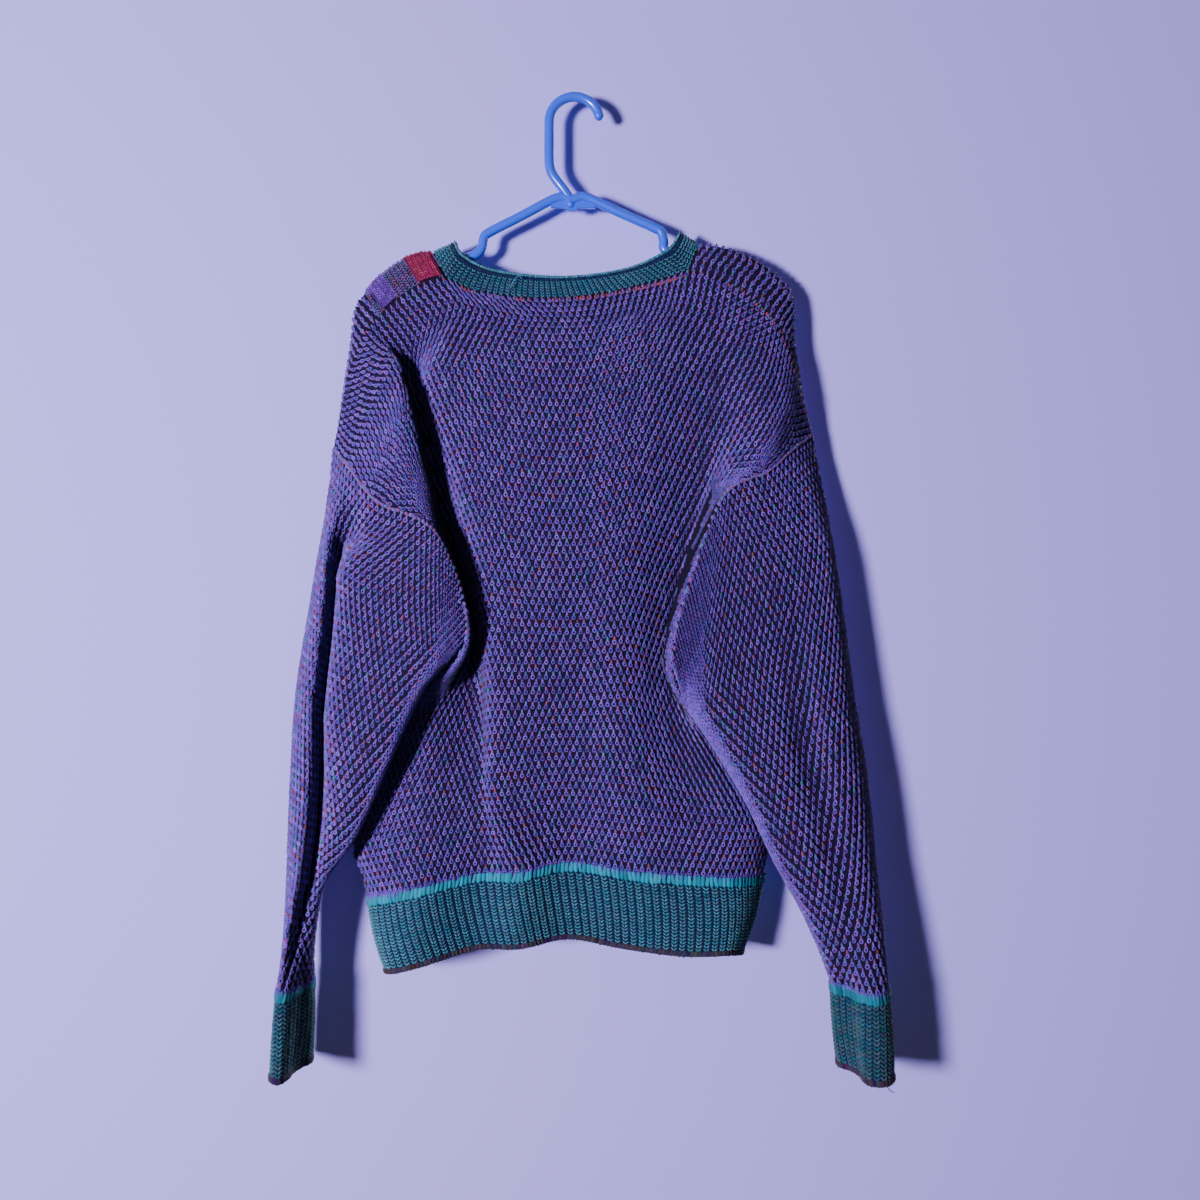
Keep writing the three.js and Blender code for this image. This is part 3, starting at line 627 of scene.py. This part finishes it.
def pearField(grid, side, wale, course, centre, drop=None, foldShade=0.0):
    rows, columns, spacing = lattice(grid, wale, course, centre, inset=0.05)
    if drop is not None:
        stay = ~drop(rows, columns)
        rows, columns, spacing = rows[stay], columns[stay], spacing[stay]
    light = foldLight(grid, side, rows, columns, foldShade)
    seen = light > folds["leftOut"]    # stitches deep in a fold would crowd it; leaving them out lets the dark ground show as the fold's painted shade
    rows, columns, spacing, light = rows[seen], columns[seen], spacing[seen], light[seen]
    size = np.ones((len(rows), 3))
    size[:, 1] = np.clip(spacing / pearCourse, 0.75, 1.3)
    ring, lobe = ringColours(len(rows)), lobeColours(len(rows))
    colour = np.concatenate([np.repeat(ring[:, None], len(paintedRingShade), axis=1),
                             np.repeat(lobe[:, None], len(paintedLobeShade), axis=1)], axis=1)
    # The painted fold shade darkens each stitch's colour.
    return stitches(pear, grid, side, rows, columns, size, colour * light[:, None, None])


def veeStrip():
    rows, columns = np.linspace(stripLow, stripHigh, 17), np.linspace(stripLeft, stripRight, 27)
    grid = np.array([take(front, np.full(len(columns), row), columns) for row in rows])
    r, c, _ = lattice(grid, shoulderStrip["wale"], shoulderStrip["course"], 13, half=False, inset=0.2)
    seen = ~underDarn(np.interp(r, range(17), rows), np.interp(c, range(27), columns))
    r, c = r[seen], c[seen]
    colour = 0.8 * lobeColours(len(r)) + 0.012
    return stitches(vee, grid, -1, r, c, shoulderStrip["size"], colour, lift=-0.9)


bodyMiddle = clothColumns // 2 * fine
backShell = finishPiece(
    shell("back_ground", back, 1, backKnit["sink"], backKnit["wall"]),
    plumGround, ["back"])
frontShell = finishPiece(
    shell("front_ground", front, -1, frontKnit["sink"], frontKnit["wall"],
          keep=lambda row, column: not inNotch(row, column)),
    plumGround, ["front"])
backField = pearField(back, 1, backKnit["wale"], backKnit["course"], bodyMiddle,
                      foldShade=backKnit["foldShade"])
backStitches = finishPiece(joined("back_stitches", [backField]), wool)
frontField = pearField(front, -1, frontKnit["wale"], frontKnit["course"], bodyMiddle, offFront,
                       frontKnit["foldShade"])
frontStitches = finishPiece(joined("front_stitches", [frontField, veeStrip()]), wool)
print("body panels knitted")

# Wales are topWale apart at the armhole and cuffGain further apart at the cuff.
sleeveKnit = {"topWale": 6.3, "cuffGain": 1.7, "course": 7.3, "joinColumn": 14, "middleColumn": 13,
              "sink": 1.0, "wall": 3.4}


# The sleeves are turned so that their first column lies on the hidden side.
def turned(grid, start):
    cut = start * fine
    return np.concatenate([grid[:, cut:-1], grid[:, :cut + 1]], axis=1)[::-1]


def sleevePieces(name, grid, side):
    ground = shell(name + "_ground", grid[::-1], side, sleeveKnit["sink"], sleeveKnit["wall"],
                   loop=True)
    field = pearField(turned(grid, sleeveKnit["joinColumn"]), side,
                      lambda share: sleeveKnit["topWale"] + sleeveKnit["cuffGain"] * (1 - share),
                      sleeveKnit["course"], sleeveKnit["middleColumn"] * fine)
    return (finishPiece(ground, plumGround, [name]),
            finishPiece(joined(name + "_stitches", [field]), wool))


leftGround, leftKnit = sleevePieces("sleeve_left", sleeveLeft, 1)
rightGround, rightKnit = sleevePieces("sleeve_right", sleeveRight, -1)
print("sleeves knitted")

# stripe and edging are the heights of the bright band and the edge, and tone is the yarn's brightness:
# on the cuffs, which hang in shade, it is painted shade.
hemKnitting = {"wale": 7.8, "course": 3.0, "stripe": 9.5, "edging": 5, "edge": plum, "tone": 0.85}
cuffLeftKnitting = {"wale": 7.8, "course": 3.9, "stripe": 10, "edging": 6, "edge": plum, "tone": 0.5}
cuffRightKnitting = {"wale": 7.8, "course": 3.9, "stripe": 10, "edging": 6, "edge": plum, "tone": 0.4}
ribCloth = {"sink": 0.8, "wall": 3.0}
neckKnitting = {"wale": 5.2, "course": 2.7, "stripe": 0, "edging": 2.4, "edge": 0.8 * teal,
                "tone": 0.75}


# Even places round a rib at a share of its height, and the width that each one has.
def ribSpots(grid, height, number, shift=0.0):
    row = np.full(grid.shape[1], height * (len(grid) - 1))
    line = take(grid, row, np.arange(grid.shape[1], dtype=float))
    run = np.concatenate([[0], np.cumsum(np.linalg.norm(np.diff(line, axis=0), axis=1))])
    at = (np.arange(number) + 0.5 + shift) / number * run[-1]
    return np.full(number, row[0]), np.interp(at, run, np.arange(grid.shape[1])), run[-1] / number


def ribPieces(name, grid, side, part, knitting):
    stripe, edging, tone = knitting["stripe"], knitting["edging"], knitting["tone"]
    flip = name != "neck"
    cloth = shell(name + "_ground", grid, side, ribCloth["sink"], ribCloth["wall"], loop=True)
    ground = finishPiece(cloth, navyGround, [part])
    around = np.linalg.norm(np.diff(grid[len(grid) // 2], axis=0), axis=1).sum()
    tall = np.median(np.linalg.norm(np.diff(grid, axis=0), axis=2).sum(axis=0))
    count = int(round(around / knitting["wale"]))
    room = tall - stripe - edging
    rows = int(round(room / knitting["course"]))
    parts = []
    for k in range(rows):
        r, c, width = ribSpots(grid, (stripe + (k + 0.5) * room / rows) / tall, count)
        # tone darkens the teal yarn, on the cuffs as painted shade.
        base = tone * teal if name != "neck" or k < rows - 1 else 1.6 * navy
        parts.append(stitches(vee, grid, side, r, c, [width / veeWidth, room / rows / veeCourse, 1.0],
                              mixedYarn(len(r), base), flip=flip, jitter=0.03, lift=-0.8))
    if stripe:
        r, c, width = ribSpots(grid, 0.5 * stripe / tall, 2 * count)
        # The bright band is darkened with tone too, on the cuffs as painted shade.
        bright = (0.4 + 0.6 * tone) * stripeTeal
        parts.append(stitches(stroke, grid, side, r, c, [width * 1.25, stripe * 1.25, 2.3],
                              mixedYarn(len(r), bright, 0.16), jitter=0.09, lift=-0.8))
        r, c, _ = ribSpots(grid, 0.02, 2 * count, 0.25)
        parts.append(stitches(pear, grid, side, r, c, [0.62, -0.75, 0.8],
                              0.9 * ringTones[rng.integers(0, len(ringTones), len(r))],
                              jitter=0.06, lift=-0.2, flip=True))
    r, c, width = ribSpots(grid, 1 - 0.5 * edging / tall, 2 * count)
    parts.append(stitches(stroke, grid, side, r, c, [width * 1.3, edging * 1.3, 2.4],
                          mixedYarn(len(r), knitting["edge"], 0.14), jitter=0.06, lift=-0.8))
    return ground, finishPiece(joined(name + "_stitches", parts), wool)


hemGround, hemKnit = ribPieces("hem", hemRib, -1, "hem_rib", hemKnitting)
cuffLeftGround, cuffLeftKnit = ribPieces("cuff_left", cuffLeft, -1, "cuff_left", cuffLeftKnitting)
cuffRightGround, cuffRightKnit = ribPieces("cuff_right", cuffRight, 1, "cuff_right", cuffRightKnitting)
neckGround, neckKnit = ribPieces("neck", neckRib, 1, "neck_rib", neckKnitting)
print("ribs knitted")

# Linking yarn that shows along the seams: the row it runs on, how many loops, and each loop's size.
neckSeam = {"row": 19.55, "from": 10, "to": 18.9, "loops": 74, "size": [2.4, 3.4, 2.2]}
shoulderSeam = {"row": 19.8, "from": 19.2, "to": 27, "loops": 26, "share": 0.6, "size": [2.2, 3.2, 1.8]}
armholeSeam = {"from": 10.1, "to": 19.8, "loops": 64, "columns": (0.05, 27.95), "size": [3.2, 4.6, 2.0]}


def alongTop(seam, kept, lift):
    at = np.linspace(seam["from"], seam["to"], seam["loops"])
    keep = rng.random(seam["loops"]) < kept(at)
    rows = np.full(seam["loops"], seam["row"] * fine)
    colour = seamTones[rng.integers(0, len(seamTones), keep.sum())]
    return stitches(stroke, back, 1, rows[keep], at[keep] * fine, seam["size"], colour,
                    jitter=0.12, lift=lift)


def seamLoops():
    parts = [alongTop(neckSeam, lambda at: np.interp(at, [10, 13, 15, 19], [0.25, 0.5, 0.9, 0.9]), 0.2),
             alongTop(shoulderSeam, lambda at: shoulderSeam["share"], 0)]
    count = armholeSeam["loops"]
    rows = np.linspace(armholeSeam["from"], armholeSeam["to"], count) * fine
    for panel, side in ((back, 1), (front, -1)):
        for column in armholeSeam["columns"]:
            colour = lobeTones[rng.integers(0, len(lobeTones), count)]
            parts.append(stitches(stroke, panel, side, rows, np.full(count, column * fine),
                                  armholeSeam["size"], colour, jitter=0.1, lift=-0.3))
    return joined("seam_loops", parts)


seamKnit = finishPiece(seamLoops(), wool)

# Loose ends: points that each one passes through, its radius and its colour.
looseEnds = {
    "neck": ([[-57, -16, -181], [-54, -20, -176], [-49, -18, -170], [-46, -16, -172]], 0.45, teal),
    "cuff": ([[262, -34, -906], [266, -44, -911], [273, -46, -915], [280, -50, -912]], 0.4, plum),
    "cuffShort": ([[284, -64, -908], [287, -68, -913], [292, -66, -916]], 0.4, plum),
}
threadSides = 5


def thread(points, radius, colour):
    line = spline(points, np.linspace(0, len(points) - 1, 8 * len(points)))
    tangent = unit(np.gradient(line, axis=0))
    side = unit(np.cross(tangent, [0.2, 1.0, 0.1]))
    other = np.cross(tangent, side)
    turn = np.arange(threadSides) * 2 * math.pi / threadSides
    reach = side[:, None] * np.cos(turn)[:, None] + other[:, None] * np.sin(turn)[:, None]
    skin = line[:, None] + radius * reach
    faces = []
    for a in range(0, threadSides * (len(line) - 1), threadSides):
        b = a + threadSides
        for k in range(threadSides):
            m = (k + 1) % threadSides
            faces += [(a + k, a + m, b + m), (a + k, b + m, b + k)]
    last = threadSides * (len(line) - 1)
    faces += [(0, 4, 3), (0, 3, 2), (0, 2, 1)]
    faces += [(last, last + 1, last + 2), (last, last + 2, last + 3), (last, last + 3, last + 4)]
    points = skin.reshape(-1, 3)
    return points, np.array(faces), np.broadcast_to(colour, points.shape)


threads = finishPiece(joined("loose_threads", [thread(*end) for end in looseEnds.values()]),
                      wool)
print("seams and loose ends made")

darning = {"wale": 4.4, "course": 3.1, "size": [0.64, 1.05, 0.7], "cells": 13}


def darn(name, look):
    left, right, low, high = (x * fine for x in look["span"])
    colour = hexColour(look["colour"])
    cells = darning["cells"]
    rows, columns = np.linspace(low, high, cells), np.linspace(left, right, cells)
    grid = np.array([take(front, np.full(cells, row), columns) for row in rows])
    # The darn's backing is its own yarn colour darkened, as painted shade in the gaps between its
    # stitches.
    backing = strandGround(name + "_strands", 0.25 * colour, 0.55 * colour)
    plate = finishPiece(shell(name + "_ground", grid, -1, -0.5, -0.1, step=1), backing, [name])
    r, c, _ = lattice(grid, darning["wale"], darning["course"], cells // 2, half=False, inset=0.05)
    knitted = stitches(vee, grid, -1, r, c, darning["size"], mixedYarn(len(r), colour, 0.2),
                       jitter=0.06, lift=0.5)
    return plate, finishPiece(joined(name + "_stitches", [knitted]), wool)


crimsonPlate, crimsonKnit = darn("darn_crimson", crimsonDarn)
violetPlate, violetKnit = darn("darn_violet", violetDarn)
print("darns made")


def arc(cx, cz, radius, start, end, count):
    turn = np.radians(np.linspace(start, end, count + 1))
    return np.stack([cx + radius * np.cos(turn), cz + radius * np.sin(turn)], axis=1).tolist()


# The hanger's tubes are round, in the plane y = 0. The gusset joins the hook to the shoulders.
hangerShape = {
    "tubeRadius": 4.6, "gussetHalf": 2, "colour": "2450e6",
    "hook": [*arc(2.9, -19.45, 24, 14, 180, 20), [-21.1, -34], [-21.1, -50], [-20.6, -62], [-17.5, -70],
             [-12.5, -77], [-7, -84], [-2, -92], [-1, -98]],
    "frame": [[0, -93], [12, -90.5], [29, -97.5], [46, -105.5], [79, -120], [85, -124], [87.5, -132.5],
              [87.5, -138.5], [92, -143], [110, -148.5], [130, -155.5], [150, -163.5], [168, -171.5],
              [180, -177.5], *arc(181, -197.5, 15.5, 58, -80, 8), [160, -212.5], [120, -215.5],
              [60, -220], [0, -224.5], [-60, -229], [-120, -232.5], [-160, -233],
              *arc(-180, -210.5, 15, 260, 122, 8),
              [-176, -185], [-150, -168.5], [-120, -155.5], [-96, -147.5], [-88, -143], [-84.5, -137.5],
              [-83, -129.5], [-77.5, -124], [-47, -108.5], [-14, -91.5]],
    "gusset": [[-19, -97.5], [-1, -90], [22, -98.5], [22.5, -101.5], [5, -101.5], [4, -104], [-4, -104],
               [-5, -101.5], [-19.5, -100.5]],
}


def bar(line, radius, loop, sides=24, detail=4):
    line = np.array(line, float)
    end = len(line) if loop else len(line) - 1
    smooth = spline(line, np.linspace(0, end, detail * len(line) + 1), loop)
    if loop:
        smooth = smooth[:-1]
        tangent = np.roll(smooth, -1, axis=0) - np.roll(smooth, 1, axis=0)
        widths = np.full(len(smooth), radius)
    else:
        tangent = np.gradient(smooth, axis=0)
        dome = np.radians([85, 60, 35, 15])
        start = smooth[:1] - unit(tangent[:1]) * radius * np.sin(dome)[:, None]
        end = smooth[-1:] + unit(tangent[-1:]) * radius * np.sin(dome[::-1])[:, None]
        widths = np.concatenate([radius * np.cos(dome), np.full(len(smooth), radius),
                                 radius * np.cos(dome[::-1])])
        smooth = np.concatenate([start, smooth, end])
        tangent = np.concatenate([np.repeat(tangent[:1], 4, 0), tangent, np.repeat(tangent[-1:], 4, 0)])
    tangent = unit(tangent)
    turn = np.linspace(0, 2 * math.pi, sides, endpoint=False)
    out = widths[:, None] * np.cos(turn)
    x = smooth[:, :1] - tangent[:, 1:] * out
    z = smooth[:, 1:] + tangent[:, :1] * out
    y = widths[:, None] * np.sin(turn)
    count = len(smooth)
    faces = []
    for i in range(count if loop else count - 1):
        for k in range(sides):
            a, b, m = i * sides, (i + 1) % count * sides, (k + 1) % sides
            faces.append([a + k, a + m, b + m, b + k])
    return np.stack([x, y, z], axis=-1).reshape(-1, 3), faces


def hangerMesh():
    radius, half, gusset = (hangerShape[key] for key in ("tubeRadius", "gussetHalf", "gusset"))
    n = len(gusset)
    plate = np.array([[x, y, z] for y in (-half, half) for x, z in gusset])
    plateFaces = [[k, (k + 1) % n, n + (k + 1) % n, n + k] for k in range(n)]
    plateFaces += [list(range(n))[::-1], list(range(n, 2 * n))]
    parts = [bar(hangerShape["hook"], radius, False), bar(hangerShape["frame"], radius, True),
             (plate, plateFaces)]
    points, faces, start = [], [], 0
    for p, f in parts:
        points.append(p)
        faces += [[start + i for i in face] for face in f]
        start += len(p)
    return meshObject("hanger_plastic", np.concatenate(points), faces,
                      smooth=[len(f) == 4 for f in faces])


finishPiece(hangerMesh(), glossPlastic("gloss_blue_plastic", hexColour(hangerShape["colour"])),
            ["hanger"])
print("hanger made")
# From here on lengths are in metres.
wallLook = {"y": 0.031, "halfWidth": 4, "halfHeight": 3, "colour": "ab9cff", "roughness": 0.9}
roomLook = {"radius": 9, "low": -6, "high": 7, "sides": 48, "colour": "c8c2e6", "strength": 0.75}


def stagePiece(name, points, faces, material):
    made = meshObject(name, np.array(points, float) * 1000, faces)
    made.data.materials.append(material)
    made.visible_shadow = made.visible_diffuse = False


# Painted wall: matt and even. It shows only from its front, so that the sweater's far side can be
# seen from behind it.
def addWall():
    material, tree, surface = newMaterial("pale_lilac_wall")
    surface.inputs["Base Color"].default_value = (*hexColour(wallLook["colour"]), 1)
    surface.inputs["Roughness"].default_value = wallLook["roughness"]
    behind = node(tree, "ShaderNodeNewGeometry").outputs["Backfacing"]
    clear = node(tree, "ShaderNodeBsdfTransparent").outputs["BSDF"]
    oneSided = node(tree, "ShaderNodeMixShader",
                    links={0: behind, 1: surface.outputs["BSDF"], 2: clear})
    tree.links.new(oneSided.outputs["Shader"], tree.nodes["Material Output"].inputs["Surface"])
    x, y, z = wallLook["halfWidth"], wallLook["y"], wallLook["halfHeight"]
    stagePiece("wall", [(-x, y, -z), (x, y, -z), (x, y, z), (-x, y, z)], [(0, 1, 2, 3)], material)


# An even pale room, far off all round, for the other views.
def addRoom():
    material, tree, _ = newMaterial("pale_room")
    glow = node(tree, "ShaderNodeEmission",
                inputs={"Color": (*hexColour(roomLook["colour"]), 1), "Strength": roomLook["strength"]})
    tree.links.new(glow.outputs["Emission"], tree.nodes["Material Output"].inputs["Surface"])
    reach, count, heights = roomLook["radius"], roomLook["sides"], (roomLook["low"], roomLook["high"])
    corners = [(reach * math.cos(a), reach * math.sin(a), z)
               for z in heights for a in np.linspace(0, 2 * math.pi, count, endpoint=False)]
    around = [(k, count + k, count + (k + 1) % count, (k + 1) % count) for k in range(count)]
    stagePiece("room", corners, around, material)
    for name, z in zip(("room_floor", "room_top"), heights):
        square = [(-reach, -reach, z), (reach, -reach, z), (reach, reach, z), (-reach, reach, z)]
        stagePiece(name, square, [(0, 1, 2, 3)], material)


addWall()
addRoom()

# Disc lamps in metres and watts: one from the left, one for the far side, and a weak one in front.
lamps = {
    "key": {"place": (-1.35, -2.25, -0.5), "size": 0.4, "power": 128, "colour": (0.97, 0.95, 1)},
    "behind": {"place": (1.2, 2.3, 0.3), "size": 1.2, "power": 130, "colour": (0.95, 0.94, 1)},
    "fill": {"place": (0.3, -2.8, -0.2), "size": 1.6, "power": 2, "colour": (0.92, 0.92, 1)},
}
lampTarget = (0, 0, -0.5)
worldLook = {"colour": (0.8, 0.8, 0.95, 1), "strength": 0.04}
cameraLook = {"place": (0.0272, -1.25, -0.4732), "lens": 39.5, "sensor": 36}

for name, lamp in lamps.items():
    data = bpy.data.lights.new(name, "AREA")
    data.shape = "DISK"
    data.size, data.energy, data.color = lamp["size"], lamp["power"], lamp["colour"]
    made = bpy.data.objects.new(name, data)
    bpy.context.collection.objects.link(made)
    made.location = lamp["place"]
    aim = np.array(lampTarget, float) - np.array(lamp["place"], float)
    made.rotation_mode = "QUATERNION"
    made.rotation_quaternion = Vector(aim).to_track_quat("-Z", "Y")

world = bpy.data.worlds.new("soft_room")
bpy.context.scene.world = world
world.use_nodes = True
world.node_tree.nodes["Background"].inputs["Color"].default_value = worldLook["colour"]
world.node_tree.nodes["Background"].inputs["Strength"].default_value = worldLook["strength"]

camera = bpy.data.objects.new("camera", bpy.data.cameras.new("camera"))
bpy.context.collection.objects.link(camera)
camera.location = cameraLook["place"]
camera.rotation_euler = (math.pi / 2, 0, 0)
camera.data.sensor_width = cameraLook["sensor"]
camera.data.lens = cameraLook["lens"]
bpy.context.scene.camera = camera
print("stage, lamps and camera set")
